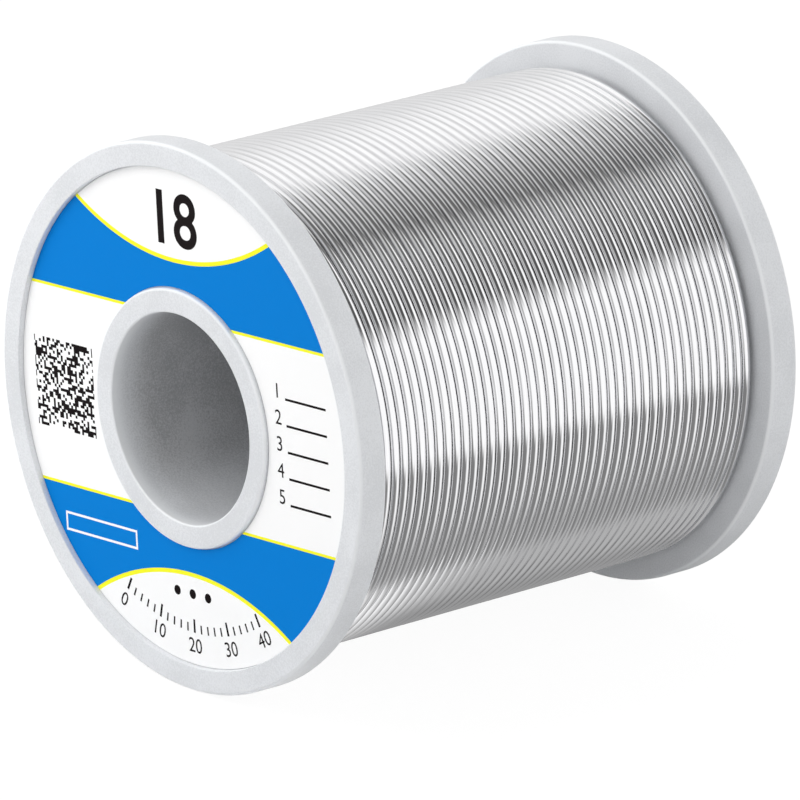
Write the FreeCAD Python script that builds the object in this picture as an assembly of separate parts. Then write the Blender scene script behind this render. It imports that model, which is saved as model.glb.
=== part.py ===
"""Spool of solder wire: two moulded flanges plugged into a barrel, a printed ring label and the wound wire.

Millimetres. The spool lies on its two rims with its axis along Y, +Z up, and the labelled face
towards -Y. The origin is the middle of the bore.
"""
import FreeCAD, Part
import math
import os
from FreeCAD import Vector

# Spool body
LENGTH = 57.0            # over the two rim faces
FLANGE_R = 28.0
FLANGE_T = 3.3           # rim face to winding side
RIM_EDGE = 0.6           # bevel along the rim's edges
SEAT_R = 25.45           # sunk seat for the label
SEAT_DEPTH = 0.75
HUB_R = 13.2             # raised ring round the bore, and the barrel's outside
HUB_EDGE = 0.5
BORE_R = 10.75
SPIGOT_R = 11.95         # flange spigot, a press fit in the barrel
SPIGOT_L = 14.8

# Label
LABEL_OUTER_R = 25.4
LABEL_INNER_R = 13.3
LABEL_T = 0.15

# Wire. The real outer layer has 45 turns of 1 mm wire. Here fewer, thicker turns fill the same space.
WOUND_R = 25.55          # outside of the full spool
LOOPS = 16
WIRE_D = 2.1             # circle through the corners of the three-sided wire
FLANGE_CLEAR = 0.1       # between an end turn and its flange
LAYER_CLEAR = 0.02       # under the turns
END_ANGLE = 215.0        # degrees from +X towards +Z, where both ends of the layer dive
POCKET_CLEAR = 0.15      # round the wire where it dives into the layers below

HALF = LENGTH / 2
INNER_FACE = HALF - FLANGE_T
AXIS = Vector(0, 1, 0)

PITCH = (2 * (INNER_FACE - FLANGE_CLEAR) - WIRE_D) / LOOPS
WIRE_LINE_R = WOUND_R - WIRE_D / 2
CORE_R = WIRE_LINE_R - WIRE_D / 2 - LAYER_CLEAR
FIRST_TURN, LAST_TURN = -LOOPS / 2, LOOPS / 2          # counted from the middle of the layer


def revolved(profile):
    """A ring turned about the spool's axis from (radius, y) corners."""
    points = [Vector(radius, y, 0) for radius, y in profile]
    face = Part.Face(Part.makePolygon(points + points[:1]))
    return face.revolve(Vector(0, 0, 0), AXIS, 360)


def flange():
    """One moulding: rim, sunk web, hub ring and spigot. Its rim face is at -HALF and faces -Y."""
    end = FLANGE_T + SPIGOT_L
    outline = [
        (BORE_R, 0), (HUB_R - HUB_EDGE, 0), (HUB_R, HUB_EDGE), (HUB_R, SEAT_DEPTH),
        (SEAT_R, SEAT_DEPTH), (SEAT_R, 0),
        (FLANGE_R - RIM_EDGE, 0), (FLANGE_R, RIM_EDGE),
        (FLANGE_R, FLANGE_T - RIM_EDGE), (FLANGE_R - RIM_EDGE, FLANGE_T),
        (SPIGOT_R, FLANGE_T), (SPIGOT_R, end), (BORE_R, end),
    ]
    return revolved([(radius, depth - HALF) for radius, depth in outline])


def barrel():
    """Plain tube between the flanges, with their spigots pressed into its ends."""
    return revolved([
        (SPIGOT_R, -INNER_FACE), (HUB_R, -INNER_FACE), (HUB_R, INNER_FACE), (SPIGOT_R, INNER_FACE),
    ])


def label():
    """Printed ring in the front flange's seat."""
    back = SEAT_DEPTH - HALF
    front = back - LABEL_T
    return revolved([
        (LABEL_INNER_R, front), (LABEL_OUTER_R, front), (LABEL_OUTER_R, back), (LABEL_INNER_R, back),
    ])


def helix_angle(turn):
    """Angle from +X towards +Z, which falls as the wire runs towards +Y."""
    return math.radians(END_ANGLE) - 2 * math.pi * (turn - FIRST_TURN)


def helix_point(turn):
    """Point on the centre line of the outer layer's wire."""
    angle = helix_angle(turn)
    return Vector(WIRE_LINE_R * math.cos(angle), PITCH * turn, WIRE_LINE_R * math.sin(angle))


def helix_heading(turn):
    """Direction of the wire at that point, towards +Y."""
    angle = helix_angle(turn)
    rise = PITCH / (2 * math.pi)
    return Vector(WIRE_LINE_R * math.sin(angle), rise, -WIRE_LINE_R * math.cos(angle)).normalize()


def outward(point):
    """Direction from the spool's axis to the point."""
    return Vector(point.x, 0, point.z).normalize()


def arc_along(start, heading, end):
    """Arc from start to end that leaves along the heading."""
    chord = end - start
    bulge = (heading - chord * (heading.dot(chord) / chord.dot(chord))).normalize()
    half_turn = heading.getAngle(chord)
    middle = (start + end) * 0.5 + bulge * (chord.Length / 2 * math.tan(half_turn / 2))
    return Part.Arc(start, middle, end).toShape()


def biarc(start, heading, end, end_heading):
    """Two arcs that meet in one tangent, and leave and arrive along the given headings."""
    chord = end - start
    both = heading + end_heading
    spread = 2 * (1 - heading.dot(end_heading))
    reach = (math.sqrt(chord.dot(both) ** 2 + spread * chord.dot(chord)) - chord.dot(both)) / spread
    first, last = start + heading * reach, end - end_heading * reach
    joint = (first + last) * 0.5
    return [arc_along(start, heading, joint), arc_along(joint, (last - first).normalize(), end)]


def dive(turn, along):
    """Where the wire leaves the layer: the bend, its inner end and the end of the straight piece.

    along is +1 at the last turn and -1 at the first.
    """
    start = helix_point(turn)
    heading = helix_heading(turn) * along
    inward = outward(start) * -1
    bend_end = start + (heading + inward) * WIRE_D
    return arc_along(start, heading, bend_end), bend_end, bend_end + inward * WIRE_D


def wire_path():
    """Centre line of the outer layer: a straight end, half turns as biarcs, and a straight end."""
    first_bend, first_corner, first_end = dive(FIRST_TURN, -1)
    last_bend, last_corner, last_end = dive(LAST_TURN, 1)
    edges = [Part.LineSegment(first_end, first_corner).toShape(), first_bend]
    for half_turn in range(2 * LOOPS):
        a = FIRST_TURN + half_turn / 2
        b = a + 0.5
        edges += biarc(helix_point(a), helix_heading(a), helix_point(b), helix_heading(b))
    edges += [last_bend, Part.LineSegment(last_corner, last_end).toShape()]
    return Part.Wire(Part.sortEdges(edges)[0])


def outer_layer():
    """The wire of the outer layer as one tube with three flat sides, swept along its centre line."""
    end = dive(FIRST_TURN, -1)[2]
    away = helix_heading(FIRST_TURN) * -1
    across = away.cross(outward(helix_point(FIRST_TURN)))
    corners = [end + (away * math.cos(angle) + across * math.sin(angle)) * (WIRE_D / 2)
               for angle in (0, 2 * math.pi / 3, 4 * math.pi / 3)]
    sweep = Part.BRepOffsetAPI.MakePipeShell(wire_path())
    sweep.add(Part.makePolygon(corners + corners[:1]))
    sweep.build()
    sweep.makeSolid()
    return sweep.shape()


def inner_layers():
    """Plain ring for the layers below, with a pocket where each end of the outer layer dives in."""
    ring = revolved([
        (HUB_R, -INNER_FACE), (CORE_R, -INNER_FACE), (CORE_R, INNER_FACE), (HUB_R, INNER_FACE),
    ])
    length = 1.5 * WIRE_D + POCKET_CLEAR
    width = WIRE_D + 2 * POCKET_CLEAR
    for turn, along in ((FIRST_TURN, -1), (LAST_TURN, 1)):
        top = outward(helix_point(turn))
        heading = AXIS.cross(top) * along
        floor = top.dot(dive(turn, along)[2])
        corner = top * floor + AXIS * (PITCH * turn - width / 2)
        base = Part.makePolygon([corner, corner + heading * length, corner + heading * length + AXIS * width,
                                 corner + AXIS * width, corner])
        ring = ring.cut(Part.Face(base).extrude(top * (WOUND_R - floor)))
    return ring.Solids[0]


def least_gap():
    """Smallest free space between turns, from points one degree apart along the centre line."""
    per_turn = 360
    points = wire_path().discretize(Number=LOOPS * per_turn)
    apart = min(point.distanceToPoint(other) for i, point in enumerate(points)
                for other in points[i + per_turn // 2:i + 3 * per_turn // 2])
    return apart - WIRE_D


def main():
    os.makedirs("parts", exist_ok=True)
    rear = flange()
    rear.rotate(Vector(0, 0, 0), Vector(0, 0, 1), 180)
    parts = {
        "front_flange": flange(),
        "rear_flange": rear,
        "barrel": barrel(),
        "front_label": label(),
        "inner_wire_layers": inner_layers(),
        "outer_wire_layer": outer_layer(),
    }
    for name, shape in parts.items():
        shape.exportStep("parts/%s.step" % name)
        print(name, shape.ShapeType, "valid" if shape.isValid() else "not valid", round(shape.Volume, 1), "mm3")
    print("pitch of the turns %.3f mm, least gap between them %.3f mm" % (PITCH, least_gap()))


main()
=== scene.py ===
"""Solder wire spool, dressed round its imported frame. Metres, axis along Y, label towards -Y."""
import math
import random

import bmesh
import bpy
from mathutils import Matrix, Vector


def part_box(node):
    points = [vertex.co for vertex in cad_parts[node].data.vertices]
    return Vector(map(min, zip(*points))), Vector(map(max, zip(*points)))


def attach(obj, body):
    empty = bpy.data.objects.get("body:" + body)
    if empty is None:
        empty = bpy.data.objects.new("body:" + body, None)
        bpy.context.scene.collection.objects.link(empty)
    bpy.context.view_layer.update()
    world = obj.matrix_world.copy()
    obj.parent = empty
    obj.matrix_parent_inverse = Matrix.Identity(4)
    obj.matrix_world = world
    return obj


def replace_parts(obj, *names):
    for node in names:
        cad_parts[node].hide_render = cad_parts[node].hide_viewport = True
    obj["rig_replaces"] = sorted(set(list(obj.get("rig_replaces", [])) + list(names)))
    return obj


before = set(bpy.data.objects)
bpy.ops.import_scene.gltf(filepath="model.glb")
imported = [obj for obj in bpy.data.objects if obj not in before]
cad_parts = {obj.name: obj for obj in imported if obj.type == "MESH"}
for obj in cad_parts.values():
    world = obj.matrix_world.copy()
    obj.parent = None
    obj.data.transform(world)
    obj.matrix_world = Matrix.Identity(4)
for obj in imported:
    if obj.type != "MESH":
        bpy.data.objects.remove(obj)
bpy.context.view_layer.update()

MM = 0.001

# Sizes that the frame gives
front_low, front_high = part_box("front_flange")
core_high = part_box("inner_wire_layers")[1]
label_low, label_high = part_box("front_label")
HALF = -front_low.y                        # rim face to the middle of the bore
RIM_R = front_high.x
SPIGOT_END = HALF + front_high.y           # depth of the spigot's end below the rim face
INNER_FACE = core_high.y
FLANGE_T = HALF - INNER_FACE
LABEL_R = label_high.x
LABEL_FACE = -label_low.y
LABEL_BACK = -label_high.y

# Moulded spool
SEAT_R = LABEL_R + 0.05 * MM
SEAT_DEPTH = HALF - LABEL_BACK
HUB_R = 13.2 * MM
BORE_R = 10.75 * MM
SPIGOT_R = 11.95 * MM
HUB_SINK = 0.12 * MM                       # the hub ring's face lies this far below the rim's
RIM_ROUND = 0.36 * MM
HUB_ROUND = 0.3 * MM
MOUTH_ROUND = 0.22 * MM
SMALL_ROUND = 0.12 * MM
ROUND_STEPS = 256
SAME_PLACE = 0.01 * MM                     # how near a point lies to the ring that it belongs to

# Painted highlights on the plastic's edges, painted light at the bore's mouth and painted shade deeper in the
# bore: each pair is the start and end of a gradual change
PLASTIC_GRAIN = 0.18 * MM
RIM_HIGHLIGHT_FADE = (0.12 * MM, 0.38 * MM)          # painted highlight, by distance from the rim's edges
HUB_HIGHLIGHT_FADE = (0.1 * MM, 0.35 * MM)           # painted highlight, by distance from the hub ring's edge
HUB_HIGHLIGHT_STRENGTH = 0.9                             # strength of the painted highlight at that edge, 1 being the rim's
BORE_WALL = (BORE_R + 0.02 * MM, BORE_R + 0.25 * MM)
MOUTH_LIGHT_FADE = (0.2 * MM, 2.2 * MM)          # painted light just inside the mouth, by depth in the bore
BORE_SHADE_DEPTH = (0.3 * MM, 5.0 * MM)           # painted shade, by depth in the bore
LIT_LOW_SIDE = (-10.5 * MM, -6.5 * MM)         # height in the bore, above its middle, where the painted shade fades on the lower side that light falls in on
LOW_SIDE_SHADE = 0.3                        # strength of the painted shade at its lowest, 1 being the full painted shade

# Wire
WIRE_D = 1.0 * MM
TURNS = 44                                 # whole turns of a layer, which shows 45 wires side by side
END_GAP = 0.06 * MM                        # between an end turn and its flange
REACH = INNER_FACE - END_GAP - WIRE_D / 2
WIRE_LINE_R = 25.05 * MM
WIRE_STEPS = 128                           # points in one turn
WIRE_CORNERS = 16
INNER_LINE_R = WIRE_LINE_R - WIRE_D
INNER_STEPS = 72
INNER_CORNERS = 8
END_ANGLE = math.radians(215)              # from +X towards +Z, on the side away from the camera
WIRE_UNEVEN = 0.018 * MM                   # how far a turn strays from its place
STREAK_SCALE = (900.0, 60.0)               # on the wire's own U and V
DIVE_BEND = 1.5 * WIRE_D                   # radius of the bend where an end leaves the layer
DIVE_STEPS = 8
DIVE_TUCK = WIRE_D / 2                     # straight piece after the bend

# Camera, fitted to the photograph
CAMERA_AZIMUTH = math.radians(49.807)
CAMERA_ELEVATION = math.radians(18.153)
CAMERA_DISTANCE = 1.100
CAMERA_LENS = 493.5                        # on a 36 mm sensor
AIM_RIGHT = 0.099 * MM
AIM_DOWN = 3.872 * MM

# Light. 1 is the level at which a colour renders as it is written.
PANEL_LEVEL = 1.22
CEILING_LEVEL = 0.16
CEILING_RIGHT_LEVEL = 0.10
CEILING_FRONT_LEVEL = 0.76
HORIZON_LEVEL = 0.25
GROUND_LEVEL = 0.54
UNDER_LEVEL = 0.37
LEFT_SOFTNESS = 8.0                        # degrees to each side of its edge where the left panel starts
LAMPS = (                                  # name, place, size and brightness
    ("left_lamp", (-0.18, -0.155, 0.09), 0.23, 1.5),
    ("right_lamp", (0.60, -0.68, 0.60), 0.60, 0.55),
    ("rear_lamp", (-0.20, 0.45, 0.04), 0.35, 1.1),
    ("top_lamp", (-0.02, -0.22, 0.37), 0.25, 1.6),
)

# Floor
FLOOR_R = 4.0
FLOOR_COLOUR = 0.72
FLOOR_GLOW_SHARE = 0.85                    # of what the camera sees of the floor
FLOOR_GLOW = 1.1
PAINTED_POOL_LEVEL = 1.15                         # level of a painted pool of light on the ground behind the front rim, seen only in reflections
PATCH_END = -10.0 * MM                     # y where it has faded
PATCH_LEFT = (-6.0 * MM, 4.0 * MM)         # x where it starts and is full
PATCH_RIGHT = (22.0 * MM, 26.0 * MM)       # x where it starts to fade and has faded

# Label
LABEL_HOLE_R = HUB_R + 0.1 * MM
LABEL_EDGE = 0.03 * MM
LABEL_GRAIN = 0.35 * MM
LABEL_TURN = math.radians(4.22)            # the print lies turned a little, with u to its right and v up
BAND_TOP = 10.3 * MM
BAND_BOTTOM = -10.2 * MM
STRIPE_W = 0.30 * MM
LENS_CENTRE = 45.2 * MM
LENS_R = 29.1 * MM
LENS_STRIPE_W = 0.44 * MM
BLOCKS_U = (-23.4 * MM, -14.1 * MM)
BLOCKS_V = (-4.65 * MM, 4.65 * MM)
BLOCK = 0.31 * MM
FRAME_U = (-19.8 * MM, -8.4 * MM)
FRAME_V = (-15.1 * MM, -13.1 * MM)
FRAME_LINE = 0.25 * MM
RULE_ROWS = [row * 2.7 * MM for row in (2, 1, 0, -1, -2)]
RULE_U = (16.2 * MM, 22.4 * MM)
RULE_BOTTOM, RULE_TOP = 0.75 * MM, 0.5 * MM  # a rule's edges, below the middle of its number
DOTS_V = -18.1 * MM
DOTS_APART = 2.4 * MM
DOT_R = 0.5 * MM
SCALE_R = 21.4 * MM                        # middle of the long ticks
SCALE_STEP = 14.0                          # degrees between the scale's numbers
SCALE_SPAN = 4.1 * SCALE_STEP              # from the first long tick to the last, and a little over
LONG_TICK_W, LONG_TICK_L = 0.8, 1.4 * MM   # width in degrees
FINE_TICK_W, FINE_TICK_L = 0.6, 0.9 * MM

# Numbers on the label
INK_HEIGHT = 0.01 * MM
FONT_HEIGHT = 0.7                          # of a numeral, as a share of the font's size
NUMBER_V = 20.0 * MM
NUMBER_H = 5.4 * MM
NUMBER_WEIGHT = 0.1 * MM
SMALL_NUMBER_H = 1.5 * MM
RULE_NUMBER_U = RULE_U[0] - 1.2 * MM
SCALE_NUMBER_R = 23.5 * MM


def srgb(red, green, blue):
    """Linear colour from 0-255 screen values."""
    def linear(value):
        value /= 255
        return value / 12.92 if value <= 0.04045 else ((value + 0.055) / 1.055) ** 2.4
    return (linear(red), linear(green), linear(blue), 1.0)


# Node helpers

class Nodes:
    """Short calls for one node tree."""

    def __init__(self, tree):
        self.tree = tree

    def add(self, kind, **values):
        node = self.tree.nodes.new(kind)
        for key, value in values.items():
            setattr(node, key, value)
        return node

    def feed(self, socket, value):
        if isinstance(value, bpy.types.NodeSocket):
            self.tree.links.new(value, socket)
        elif value is not None:
            socket.default_value = value

    def math(self, operation, a, b=None, c=None, clamp=False):
        node = self.add("ShaderNodeMath", operation=operation, use_clamp=clamp)
        for socket, value in zip(node.inputs, (a, b, c)):
            self.feed(socket, value)
        return node.outputs[0]

    def chain(self, operation, *values):
        """The operation over all the values, from the first to the last."""
        total = values[0]
        for value in values[1:]:
            total = self.math(operation, total, value)
        return total

    def product(self, *values):
        return self.chain("MULTIPLY", *values)

    def greatest(self, *values):
        return self.chain("MAXIMUM", *values)

    def length(self, a, b):
        """Length of the arrow (a, b)."""
        return self.math("SQRT", self.math("ADD", self.product(a, a), self.product(b, b)))

    def remap(self, value, from_low, from_high, to_low, to_high):
        node = self.add("ShaderNodeMapRange", interpolation_type="SMOOTHSTEP")
        for socket, item in zip(node.inputs, (value, from_low, from_high, to_low, to_high)):
            self.feed(socket, item)
        return node.outputs[0]

    def rise(self, value, low, high):
        """0 up to low, then smoothly to 1 at high."""
        return self.remap(value, low, high, 0.0, 1.0)

    def fall(self, value, low, high):
        """1 up to low, then smoothly to 0 at high."""
        return self.remap(value, low, high, 1.0, 0.0)

    def mix(self, factor, a, b):
        node = self.add("ShaderNodeMix", data_type="RGBA")
        self.feed(node.inputs["Factor"], factor)
        self.feed(node.inputs[6], a)
        self.feed(node.inputs[7], b)
        return node.outputs[2]

    def blend(self, factor, a, b):
        node = self.add("ShaderNodeMix", data_type="FLOAT")
        for name, value in (("Factor", factor), ("A", a), ("B", b)):
            self.feed(node.inputs[name], value)
        return node.outputs["Result"]

    def mix_shaders(self, factor, a, b):
        node = self.add("ShaderNodeMixShader")
        for socket, value in zip(node.inputs, (factor, a, b)):
            self.feed(socket, value)
        return node.outputs[0]

    def white_light(self, strength):
        node = self.add("ShaderNodeEmission")
        node.inputs["Color"].default_value = (1, 1, 1, 1)
        node.inputs["Strength"].default_value = strength
        return node.outputs[0]

    def object_point(self, rotation=(0, 0, 0)):
        mapping = self.add("ShaderNodeMapping")
        mapping.inputs["Rotation"].default_value = rotation
        self.feed(mapping.inputs["Vector"], self.add("ShaderNodeTexCoord").outputs["Object"])
        return mapping.outputs["Vector"]

    def split(self, vector):
        node = self.add("ShaderNodeSeparateXYZ")
        self.feed(node.inputs[0], vector)
        return node.outputs

    def noise(self, vector, scale, detail=2.0):
        node = self.add("ShaderNodeTexNoise")
        for name, value in (("Vector", vector), ("Scale", scale), ("Detail", detail)):
            self.feed(node.inputs[name], value)
        return node.outputs["Fac"]

    def bump(self, height, distance, strength):
        node = self.add("ShaderNodeBump")
        for name, value in (("Strength", strength), ("Distance", distance), ("Height", height)):
            self.feed(node.inputs[name], value)
        return node.outputs["Normal"]


def new_material(name):
    """A material with one Principled shader. Returns the material, its shader and its node helper."""
    material = bpy.data.materials.new(name)
    material.use_nodes = True
    shader = material.node_tree.nodes["Principled BSDF"]
    return material, shader, Nodes(material.node_tree)


# Materials

def moulded_grain_group():
    """Fine grain of a moulded or printed surface: a height for bump and a mask for shade."""
    group = bpy.data.node_groups.new("moulded_grain", "ShaderNodeTree")
    for name, kind, way in (("Vector", "NodeSocketVector", "INPUT"), ("Size", "NodeSocketFloat", "INPUT"),
                            ("Height", "NodeSocketFloat", "OUTPUT"), ("Shade", "NodeSocketFloat", "OUTPUT")):
        group.interface.new_socket(name, in_out=way, socket_type=kind)
    n = Nodes(group)
    inputs = n.add("NodeGroupInput").outputs
    outputs = n.add("NodeGroupOutput").inputs
    scale = n.math("DIVIDE", 1.0, inputs["Size"])
    fine = n.noise(inputs["Vector"], scale, 3.0)
    broad = n.noise(inputs["Vector"], n.product(scale, 0.03))
    n.feed(outputs["Height"], fine)
    n.feed(outputs["Shade"], n.math("ADD", n.product(fine, 0.6), n.product(broad, 0.4)))
    return group


def grain(n, group, size):
    """Places the grain group on Object coordinates. Returns its height and shade."""
    node = n.add("ShaderNodeGroup", node_tree=group)
    n.feed(node.inputs["Vector"], n.object_point())
    n.feed(node.inputs["Size"], size)
    return node.outputs["Height"], node.outputs["Shade"]


def plastic_material(grain_group):
    """Cool off-white moulded plastic, with painted highlights along its rim and hub edges and painted light
    just inside the bore's mouth.

    The bore's wall has painted shade deeper inside, least of all on its lower side, where light falls in.
    """
    material, shader, n = new_material("moulded_plastic")
    height, shade = grain(n, grain_group, PLASTIC_GRAIN)
    x, y, z = n.split(n.object_point())
    radius = n.length(x, z)
    depth = n.math("SUBTRACT", HALF, n.math("ABSOLUTE", y))

    def from_edge(edge_radius, edge_depth):
        return n.length(n.math("SUBTRACT", radius, edge_radius), n.math("SUBTRACT", depth, edge_depth))

    tone = n.rise(shade, 0.38, 0.62)
    outside = n.mix(tone, srgb(219, 221, 224), srgb(230, 232, 235))
    in_bore = n.fall(radius, *BORE_WALL)
    # painted highlights along the rim's and hub ring's edges, and painted light just inside the bore's mouth,
    # as a paler colour
    from_rim = n.math("MINIMUM", from_edge(RIM_R, 0.0), from_edge(RIM_R, FLANGE_T))
    rim_painted_highlight = n.fall(from_rim, *RIM_HIGHLIGHT_FADE)
    hub_painted_highlight = n.remap(from_edge(HUB_R, HUB_SINK), *HUB_HIGHLIGHT_FADE, HUB_HIGHLIGHT_STRENGTH, 0.0)
    mouth_painted_light = n.product(in_bore, n.fall(depth, *MOUTH_LIGHT_FADE))
    outside = n.mix(n.greatest(rim_painted_highlight, hub_painted_highlight, mouth_painted_light), outside, srgb(244, 246, 248))
    # painted shade: grey plastic deeper in the bore, less of it on the lower side, where light falls in
    inside = n.mix(tone, srgb(164, 165, 167), srgb(192, 193, 195))
    painted_bore_shade = n.product(in_bore, n.rise(depth, *BORE_SHADE_DEPTH), n.remap(z, *LIT_LOW_SIDE, LOW_SIDE_SHADE, 1.0))
    n.feed(shader.inputs["Base Color"], n.mix(painted_bore_shade, outside, inside))
    n.feed(shader.inputs["Roughness"], n.remap(shade, 0.3, 0.7, 0.28, 0.38))
    shader.inputs["IOR"].default_value = 1.49
    n.feed(shader.inputs["Normal"], n.bump(height, 0.012 * MM, 0.6))
    return material


def wire_material():
    """Bright drawn tin-lead: a soft mirror with fine streaks along the wire."""
    material, shader, n = new_material("bright_solder")
    place = n.split(n.add("ShaderNodeTexCoord").outputs["UV"])
    streak_point = n.add("ShaderNodeCombineXYZ")
    for name, scale in zip(("X", "Y"), STREAK_SCALE):
        n.feed(streak_point.inputs[name], n.product(place[name], scale))
    streaks = n.noise(streak_point.outputs[0], 1.0)
    tone = n.rise(streaks, 0.35, 0.65)
    n.feed(shader.inputs["Base Color"], n.mix(tone, srgb(226, 226, 228), srgb(236, 236, 237)))
    shader.inputs["Metallic"].default_value = 1.0
    n.feed(shader.inputs["Roughness"], n.remap(streaks, 0.3, 0.7, 0.025, 0.055))
    n.feed(shader.inputs["Normal"], n.bump(streaks, 0.004 * MM, 0.2))
    return material


def print_box_group():
    """Mask of an upright box in the print, from its low and high corner."""
    group = bpy.data.node_groups.new("print_box", "ShaderNodeTree")
    for name in ("U", "V", "U low", "U high", "V low", "V high"):
        group.interface.new_socket(name, in_out="INPUT", socket_type="NodeSocketFloat")
    group.interface.new_socket("Mask", in_out="OUTPUT", socket_type="NodeSocketFloat")
    n = Nodes(group)
    inputs = n.add("NodeGroupInput").outputs
    across = n.product(n.math("GREATER_THAN", inputs["U"], inputs["U low"]),
                       n.math("LESS_THAN", inputs["U"], inputs["U high"]))
    upright = n.product(n.math("GREATER_THAN", inputs["V"], inputs["V low"]),
                        n.math("LESS_THAN", inputs["V"], inputs["V high"]))
    n.feed(n.add("NodeGroupOutput").inputs["Mask"], n.product(across, upright))
    return group


def label_material(grain_group):
    """Printed film: blue bands with yellow edges, a plain block pattern, ruled lines and a row of ticks."""
    material, shader, n = new_material("label_print")
    box_group = print_box_group()
    u, _, v = n.split(n.object_point(rotation=(0, LABEL_TURN, 0)))

    def box(u_low, u_high, v_low, v_high):
        node = n.add("ShaderNodeGroup", node_tree=box_group)
        for name, value in (("U", u), ("V", v), ("U low", u_low), ("U high", u_high),
                            ("V low", v_low), ("V high", v_high)):
            n.feed(node.inputs[name], value)
        return node.outputs["Mask"]

    def line(value, centre, width):
        return n.math("COMPARE", value, centre, width / 2)

    def distance_from(centre_u, centre_v):
        return n.length(n.math("SUBTRACT", u, centre_u), n.math("SUBTRACT", v, centre_v))

    upper, lower = distance_from(0.0, LENS_CENTRE), distance_from(0.0, -LENS_CENTRE)
    outside_band = n.greatest(n.math("GREATER_THAN", v, BAND_TOP), n.math("LESS_THAN", v, BAND_BOTTOM))
    in_lens = n.greatest(n.math("LESS_THAN", upper, LENS_R), n.math("LESS_THAN", lower, LENS_R))
    blue = n.product(outside_band, n.math("SUBTRACT", 1.0, in_lens))
    yellow = n.greatest(line(v, BAND_TOP, STRIPE_W), line(v, BAND_BOTTOM, STRIPE_W),
                        line(upper, LENS_R, LENS_STRIPE_W), line(lower, LENS_R, LENS_STRIPE_W))
    colour = n.mix(blue, srgb(252, 252, 252), srgb(2, 126, 212))
    colour = n.mix(yellow, colour, srgb(250, 250, 50))

    rules = n.greatest(*(box(*RULE_U, row - RULE_BOTTOM, row - RULE_TOP) for row in RULE_ROWS))
    cell = n.add("ShaderNodeCombineXYZ")
    for name, value in (("X", u), ("Y", v)):
        n.feed(cell.inputs[name], n.math("FLOOR", n.math("DIVIDE", value, BLOCK)))
    chance = n.add("ShaderNodeTexWhiteNoise", noise_dimensions="2D")
    n.feed(chance.inputs["Vector"], cell.outputs[0])
    blocks = n.product(n.math("GREATER_THAN", chance.outputs["Value"], 0.5), box(*BLOCKS_U, *BLOCKS_V))
    turn = n.math("DEGREES", n.math("ARCTAN2", u, n.product(v, -1.0)))
    from_middle = distance_from(0.0, 0.0)
    fine_r = SCALE_R + (LONG_TICK_L - FINE_TICK_L) / 2
    fine_ticks = n.product(line(n.math("PINGPONG", turn, SCALE_STEP / 10), 0.0, FINE_TICK_W),
                           line(from_middle, fine_r, FINE_TICK_L))
    long_ticks = n.product(line(n.math("PINGPONG", turn, SCALE_STEP / 2), 0.0, LONG_TICK_W),
                           line(from_middle, SCALE_R, LONG_TICK_L))
    ticks = n.product(n.greatest(fine_ticks, long_ticks), line(turn, 0.0, SCALE_SPAN))
    dots = n.greatest(*(n.math("LESS_THAN", distance_from(dot, DOTS_V), DOT_R)
                        for dot in (-DOTS_APART, 0.0, DOTS_APART)))
    colour = n.mix(n.greatest(rules, blocks, ticks, dots), colour, srgb(26, 20, 21))
    frame_line = n.math("SUBTRACT", box(*FRAME_U, *FRAME_V),
                        box(FRAME_U[0] + FRAME_LINE, FRAME_U[1] - FRAME_LINE,
                            FRAME_V[0] + FRAME_LINE, FRAME_V[1] - FRAME_LINE))
    colour = n.mix(frame_line, colour, srgb(250, 250, 251))
    n.feed(shader.inputs["Base Color"], colour)
    height, shade = grain(n, grain_group, LABEL_GRAIN)
    n.feed(shader.inputs["Roughness"], n.remap(shade, 0.3, 0.7, 0.42, 0.5))
    shader.inputs["Specular IOR Level"].default_value = 0.03
    n.feed(shader.inputs["Normal"], n.bump(height, 0.004 * MM, 0.3))
    return material


def ink_material(grain_group):
    """Dark printing ink."""
    material, shader, n = new_material("dark_ink")
    _, shade = grain(n, grain_group, LABEL_GRAIN)
    n.feed(shader.inputs["Base Color"], n.mix(shade, srgb(22, 16, 17), srgb(34, 28, 29)))
    shader.inputs["Roughness"].default_value = 0.4
    shader.inputs["Specular IOR Level"].default_value = 0.05
    return material


def floor_material():
    """Pale floor, white to the camera with the spool's shadow faint on it.

    Reflections see the studio's ground, and on it a painted pool of light behind the front rim.
    """
    material = bpy.data.materials.new("floor")
    material.use_nodes = True
    n = Nodes(material.node_tree)
    material.node_tree.nodes.clear()
    paths = n.add("ShaderNodeLightPath").outputs
    diffuse = n.add("ShaderNodeBsdfDiffuse")
    diffuse.inputs["Color"].default_value = (FLOOR_COLOUR, FLOOR_COLOUR, FLOOR_COLOUR, 1)
    glow_share = n.product(paths["Is Camera Ray"], FLOOR_GLOW_SHARE)
    plain = n.mix_shaders(glow_share, diffuse.outputs[0], n.white_light(FLOOR_GLOW))
    x, y, _ = n.split(n.object_point())
    # painted pool of light on the floor behind the front rim, seen only in reflections
    along = n.product(n.math("GREATER_THAN", y, -HALF), n.fall(y, -HALF, PATCH_END))
    aside = n.product(n.rise(x, *PATCH_LEFT), n.fall(x, *PATCH_RIGHT))
    clear = n.add("ShaderNodeBsdfTransparent").outputs[0]
    mirrored = n.mix_shaders(n.product(along, aside), clear, n.white_light(PAINTED_POOL_LEVEL))
    in_mirror = n.greatest(paths["Is Glossy Ray"], paths["Is Transmission Ray"])
    surface = n.mix_shaders(in_mirror, plain, mirrored)
    n.feed(n.add("ShaderNodeOutputMaterial").inputs["Surface"], surface)
    return material


# Modelling helpers

def start_edit(piece):
    """Makes the piece the only selected one and enters edit mode, with edges selectable."""
    bpy.ops.object.select_all(action="DESELECT")
    piece.select_set(True)
    bpy.context.view_layer.objects.active = piece
    bpy.ops.object.mode_set(mode="EDIT")
    bpy.ops.mesh.select_mode(type="EDGE")


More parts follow.
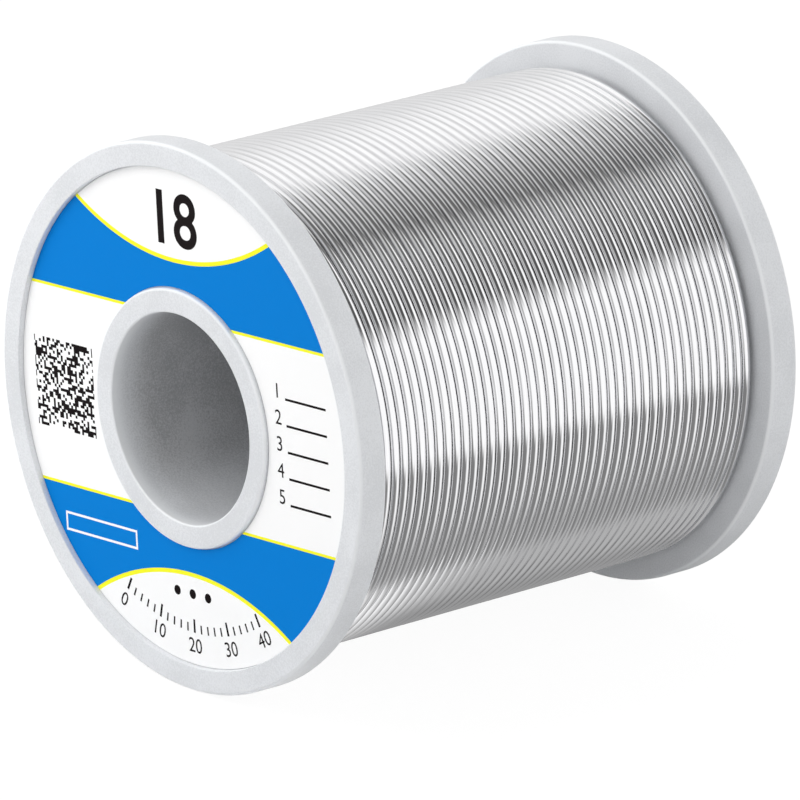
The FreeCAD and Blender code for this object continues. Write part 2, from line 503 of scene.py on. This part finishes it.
def select_ring(piece, radius, y):
    """Selects the edges of one ring round the Y axis."""
    def on_ring(point):
        aside = abs(math.hypot(point.x, point.z) - radius)
        return aside < SAME_PLACE and abs(point.y - y) < SAME_PLACE

    bpy.ops.mesh.select_all(action="DESELECT")
    mesh = bmesh.from_edit_mesh(piece.data)
    for edge in mesh.edges:
        edge.select_set(all(on_ring(corner.co) for corner in edge.verts))
    bmesh.update_edit_mesh(piece.data)


def turned(name, outline, rounds):
    """A ring turned about the Y axis from (radius, y) corners, with some corners rounded.

    rounds maps a corner's number to its radius and number of segments.
    """
    bpy.ops.object.select_all(action="DESELECT")
    radius, y = outline[0]
    bpy.ops.mesh.primitive_circle_add(vertices=ROUND_STEPS, radius=radius, location=(0, y, 0),
                                      rotation=(math.pi / 2, 0, 0))
    piece = bpy.context.object
    piece.name = piece.data.name = name
    bpy.ops.object.transform_apply(location=True, rotation=True, scale=True)
    start_edit(piece)
    bpy.ops.mesh.select_all(action="SELECT")
    for next_radius, next_y in outline[1:] + outline[:1]:
        bpy.ops.mesh.extrude_edges_move(TRANSFORM_OT_translate={"value": (0, next_y - y, 0)})
        size = next_radius / radius
        bpy.ops.transform.resize(value=(size, 1, size), center_override=(0, next_y, 0))
        radius, y = next_radius, next_y
    bpy.ops.mesh.select_all(action="SELECT")
    bpy.ops.mesh.remove_doubles(threshold=0.001 * MM)
    bpy.ops.mesh.normals_make_consistent(inside=False)
    for corner, (size, segments) in rounds.items():
        select_ring(piece, *outline[corner])
        bpy.ops.mesh.bevel(offset=size, segments=segments, affect="EDGES")
    bpy.ops.mesh.select_all(action="SELECT")
    bpy.ops.mesh.normals_make_consistent(inside=False)
    bpy.ops.object.mode_set(mode="OBJECT")
    bpy.ops.object.shade_smooth_by_angle(angle=math.radians(40))
    bpy.ops.object.modifier_add(type="WEIGHTED_NORMAL")
    piece.modifiers[-1].keep_sharp = True
    bpy.ops.object.modifier_apply(modifier=piece.modifiers[-1].name)
    return piece


def dress(piece, material, slot, *nodes):
    """Gives a new piece its material, and lets it ride and stand for its nodes. The slot argument is not
    used.
    """
    piece.data.materials.clear()
    piece.data.materials.append(material)
    if nodes:
        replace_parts(piece, *nodes)
    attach(piece, "root")


# Spool

def front_flange(material):
    """One moulding: rim, sunk seat, hub ring and spigot."""
    outline = [
        (BORE_R, HUB_SINK - HALF), (HUB_R, HUB_SINK - HALF),
        (HUB_R, SEAT_DEPTH - HALF), (SEAT_R, SEAT_DEPTH - HALF),
        (SEAT_R, -HALF), (RIM_R, -HALF), (RIM_R, FLANGE_T - HALF), (SPIGOT_R, FLANGE_T - HALF),
        (SPIGOT_R, SPIGOT_END - HALF), (BORE_R, SPIGOT_END - HALF),
    ]
    rounds = {
        0: (MOUTH_ROUND, 4), 1: (HUB_ROUND, 5), 4: (SMALL_ROUND, 3),
        5: (RIM_ROUND, 8), 6: (RIM_ROUND, 8), 8: (SMALL_ROUND, 2), 9: (SMALL_ROUND, 2),
    }
    piece = turned("front_flange_moulding", outline, rounds)
    dress(piece, material, "spool_plastic", "front_flange")
    return piece


def rear_flange(front, material):
    """The same moulding turned half round, so that its rim face looks towards +Y."""
    bpy.ops.object.select_all(action="DESELECT")
    piece = front.copy()
    piece.data = front.data.copy()
    bpy.context.collection.objects.link(piece)
    piece.name = piece.data.name = "rear_flange_moulding"
    piece.parent = None
    piece.pop("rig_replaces", None)
    piece.rotation_euler = (0, 0, math.pi)
    piece.select_set(True)
    bpy.context.view_layer.objects.active = piece
    bpy.ops.object.transform_apply(location=True, rotation=True, scale=True)
    dress(piece, material, "spool_plastic", "rear_flange")


def barrel(material):
    """The plain tube between the spigots."""
    outline = [(SPIGOT_R, -INNER_FACE), (HUB_R, -INNER_FACE), (HUB_R, INNER_FACE), (SPIGOT_R, INNER_FACE)]
    rounds = {0: (SMALL_ROUND, 2), 3: (SMALL_ROUND, 2)}
    dress(turned("barrel_tube", outline, rounds), material, "spool_plastic", "barrel")


def label(material):
    """The printed ring in the front seat."""
    outline = [
        (LABEL_HOLE_R, -LABEL_FACE), (LABEL_R, -LABEL_FACE),
        (LABEL_R, -LABEL_BACK), (LABEL_HOLE_R, -LABEL_BACK),
    ]
    rounds = {0: (LABEL_EDGE, 2), 1: (LABEL_EDGE, 2)}
    dress(turned("label_film", outline, rounds), material, "label_print", "front_label")


def numeral(text, u, v, height, weight=0.0, turn=0.0):
    """A plain number on the label's face, with its middle at (u, v), as a thin raised print."""
    bpy.ops.object.select_all(action="DESELECT")
    bpy.ops.object.text_add()
    piece = bpy.context.object
    piece.data.body = text
    piece.data.align_x, piece.data.align_y = "CENTER", "CENTER"
    piece.data.size = height / FONT_HEIGHT
    piece.data.offset = weight
    piece.data.extrude = INK_HEIGHT
    bpy.ops.object.convert(target="MESH")
    cos, sin = math.cos(LABEL_TURN), math.sin(LABEL_TURN)
    piece.location = (u * cos - v * sin, -LABEL_FACE, u * sin + v * cos)
    piece.rotation_euler = (math.pi / 2, -LABEL_TURN - turn, 0)
    bpy.ops.object.transform_apply(location=True, rotation=True, scale=True)
    return piece


def numerals(material):
    """All the numbers on the label as one piece: a large one, one for each ruled row and a scale's."""
    pieces = [numeral("18", 0.0, NUMBER_V, NUMBER_H, weight=NUMBER_WEIGHT)]
    for row, v in enumerate(RULE_ROWS):
        pieces.append(numeral(str(row + 1), RULE_NUMBER_U, v, SMALL_NUMBER_H))
    for step in range(5):
        angle = math.radians(SCALE_STEP * (step - 2))
        u, v = SCALE_NUMBER_R * math.sin(angle), -SCALE_NUMBER_R * math.cos(angle)
        pieces.append(numeral(str(10 * step), u, v, SMALL_NUMBER_H, turn=angle))
    bpy.ops.object.select_all(action="DESELECT")
    for piece in pieces:
        piece.select_set(True)
    bpy.context.view_layer.objects.active = pieces[0]
    bpy.ops.object.join()
    pieces[0].name = pieces[0].data.name = "label_numbers"
    dress(pieces[0], material, "label_print")


# Wire

def wound_points(line_radius, steps, way):
    """Points of one level layer from flange to flange. way is +1 or -1, the hand of the helix."""
    rng = random.Random(way * 7 + TURNS)
    stray = [rng.uniform(-WIRE_UNEVEN, WIRE_UNEVEN) for _ in range(TURNS + 2)]
    points = []
    for i in range(TURNS * steps + 1):
        turn = i / steps
        k = int(turn)
        share = turn - k
        share = share * share * (3 - 2 * share)
        y = -REACH + 2 * REACH * turn / TURNS + stray[k] * (1 - share) + stray[k + 1] * share
        angle = END_ANGLE + way * 2 * math.pi * turn
        points.append(Vector((line_radius * math.cos(angle), y, line_radius * math.sin(angle))))
    return points


def dive_points(end, before):
    """Points that bend the wire inwards from the end of a layer and down between the turns below."""
    heading = (end - before).normalized()
    inward = -Vector((end.x, 0, end.z)).normalized()
    points = []
    for step in range(1, DIVE_STEPS + 1):
        angle = math.pi / 2 * step / DIVE_STEPS
        ahead, down = DIVE_BEND * math.sin(angle), DIVE_BEND * (1 - math.cos(angle))
        points.append(end + heading * ahead + inward * down)
    return points + [points[-1] + inward * DIVE_TUCK]


def wire_along(name, points, corners):
    """A closed round wire along the points."""
    bpy.ops.object.select_all(action="DESELECT")
    curve = bpy.data.curves.new(name, "CURVE")
    curve.dimensions = "3D"
    spline = curve.splines.new("POLY")
    spline.points.add(len(points) - 1)
    for place, point in zip(spline.points, points):
        place.co = (*point, 1)
    curve.bevel_depth = WIRE_D / 2
    curve.bevel_resolution = (corners - 4) // 2
    curve.use_fill_caps = True
    piece = bpy.data.objects.new(name, curve)
    bpy.context.collection.objects.link(piece)
    piece.select_set(True)
    bpy.context.view_layer.objects.active = piece
    bpy.ops.object.convert(target="MESH")
    bpy.ops.object.shade_smooth_by_angle(angle=math.radians(60))
    return bpy.context.object


def outer_layer(material):
    """The layer that shows: one wire, with both ends tucked down."""
    points = wound_points(WIRE_LINE_R, WIRE_STEPS, -1)
    points = dive_points(points[0], points[1])[::-1] + points + dive_points(points[-1], points[-2])
    piece = wire_along("wire_outer_layer", points, WIRE_CORNERS)
    dress(piece, material, "solder_wire", "outer_wire_layer")


def inner_layers(material):
    """The layer below, wound the other way, over a plain sleeve for the rest."""
    points = wound_points(INNER_LINE_R, INNER_STEPS, 1)
    dress(wire_along("wire_second_layer", points, INNER_CORNERS), material, "solder_wire")
    sleeve_r = INNER_LINE_R - WIRE_D / 2
    outline = [(HUB_R, -INNER_FACE), (sleeve_r, -INNER_FACE), (sleeve_r, INNER_FACE), (HUB_R, INNER_FACE)]
    dress(turned("wire_inner_layers", outline, {}), material, "solder_wire", "inner_wire_layers")


# Stage

def studio_world():
    """White panels on the right, the left and at the back, with a dark ceiling between and a dim ground.

    The panels are bounded by the angle round Y, from +X towards +Z. To the camera the world is white.
    """
    world = bpy.data.worlds.new("studio")
    bpy.context.scene.world = world
    world.use_nodes = True
    world.node_tree.nodes.clear()
    n = Nodes(world.node_tree)
    x, y, z = n.split(n.add("ShaderNodeTexCoord").outputs["Generated"])
    angle = n.math("DEGREES", n.math("ARCTAN2", z, x))
    whole_turn = n.math("MULTIPLY_ADD", n.math("LESS_THAN", angle, -100.0), 360.0, angle)

    def between(value, start, full):
        """Rises from 0 at start to 1 at full, where both change over the sky."""
        share = n.math("DIVIDE", n.math("SUBTRACT", value, start), n.math("SUBTRACT", full, start))
        return n.rise(share, 0.0, 1.0)

    # Right panel
    right = n.product(n.rise(angle, -27.0, -18.0), n.fall(angle, 28.0, 41.0))

    # Back panel, with an edge that leans with the angle
    back_start = n.math("ADD", n.remap(angle, 0.0, 30.0, -0.14, 0.16), n.remap(angle, 58.0, 66.0, 0.0, -0.11))
    back_full = n.remap(angle, 0.0, 30.0, 0.62, 0.48)
    back = n.product(between(y, back_start, back_full), n.fall(angle, 74.0, 80.0),
                     n.rise(angle, -80.0, -45.0))

    # Left panel, dimmer further round
    left_edge = n.math("ADD", n.remap(y, -0.68, 0.42, 115.0, 94.0), n.remap(y, 0.78, 0.95, 0.0, 40.0))
    past_edge = n.math("DIVIDE", n.math("SUBTRACT", whole_turn, left_edge), LEFT_SOFTNESS)
    left = n.product(n.rise(past_edge, -1.0, 1.0), n.remap(whole_turn, 126.0, 150.0, 1.0, 0.73),
                     n.fall(whole_turn, 195.0, 215.0), n.remap(y, 0.0, 1.2, 1.0, 0.5))

    panels = n.math("ADD", n.greatest(right, back), left, clamp=True)
    panels = n.product(panels, n.remap(y, -0.7, -0.54, 0.46, 1.0))

    # Ceiling, brighter towards the front
    front_start = n.remap(angle, 50.0, 82.0, -0.5, -0.3)
    front_full = n.remap(angle, 50.0, 82.0, -1.0, -0.82)
    front = n.product(between(y, front_start, front_full), n.rise(angle, 30.0, 40.0))
    ceiling = n.remap(angle, 44.0, 62.0, CEILING_RIGHT_LEVEL, CEILING_LEVEL)
    ceiling = n.blend(front, ceiling, CEILING_FRONT_LEVEL)

    # Ground, darker under the spool and near the horizon on the right
    under = n.product(UNDER_LEVEL, n.remap(angle, -155.0, -120.0, 0.75, 1.0), n.remap(y, -0.5, 0.2, 0.5, 1.0))
    ground = n.blend(n.rise(angle, -107.0, -90.0), under, GROUND_LEVEL)
    ground = n.blend(n.rise(angle, -79.0, -70.5), ground, HORIZON_LEVEL)

    level = n.blend(n.math("GREATER_THAN", angle, 0.0), ground, ceiling)
    level = n.blend(panels, level, PANEL_LEVEL)
    level = n.blend(n.add("ShaderNodeLightPath").outputs["Is Camera Ray"], level, 1.0)
    background = n.add("ShaderNodeBackground")
    background.inputs["Color"].default_value = (1, 1, 1, 1)
    n.feed(background.inputs["Strength"], level)
    n.feed(n.add("ShaderNodeOutputWorld").inputs["Surface"], background.outputs[0])


def lamp(name, place, size, brightness):
    """A square soft lamp that looks at the spool. The wire mirrors the studio's panels and not the lamps."""
    data = bpy.data.lights.new(name, "AREA")
    data.size = size
    data.energy = brightness * math.pi * size * size
    light = bpy.data.objects.new(name, data)
    bpy.context.scene.collection.objects.link(light)
    light.location = place
    light.rotation_euler = Vector(place).to_track_quat("Z", "Y").to_euler()
    light.visible_glossy = False


def floor():
    """The floor that the two rims lie on."""
    bpy.ops.object.select_all(action="DESELECT")
    bpy.ops.mesh.primitive_circle_add(vertices=64, radius=FLOOR_R, fill_type="NGON", location=(0, 0, -RIM_R))
    plane = bpy.context.object
    plane.name = "floor"
    bpy.ops.object.transform_apply(location=True, rotation=True, scale=True)
    plane.data.materials.append(floor_material())


def camera():
    """The photograph's camera."""
    level = math.cos(CAMERA_ELEVATION)
    back = Vector((math.sin(CAMERA_AZIMUTH) * level, -math.cos(CAMERA_AZIMUTH) * level,
                   math.sin(CAMERA_ELEVATION)))
    right = Vector((math.cos(CAMERA_AZIMUTH), math.sin(CAMERA_AZIMUTH), 0))
    up = back.cross(right)
    data = bpy.data.cameras.new("camera")
    data.lens = CAMERA_LENS
    data.clip_start, data.clip_end = 0.05, 20
    eye = bpy.data.objects.new("camera", data)
    bpy.context.scene.collection.objects.link(eye)
    eye.location = back * CAMERA_DISTANCE
    target = right * AIM_RIGHT - up * AIM_DOWN
    eye.rotation_euler = (target - eye.location).to_track_quat("-Z", "Y").to_euler()
    bpy.context.scene.camera = eye


def main():
    grain_group = moulded_grain_group()
    plastic = plastic_material(grain_group)
    wire = wire_material()
    front = front_flange(plastic)
    rear_flange(front, plastic)
    barrel(plastic)
    label(label_material(grain_group))
    numerals(ink_material(grain_group))
    outer_layer(wire)
    inner_layers(wire)
    studio_world()
    for name, place, size, brightness in LAMPS:
        lamp(name, place, size, brightness)
    floor()
    camera()
    bpy.context.scene.view_settings.view_transform = "Standard"


main()
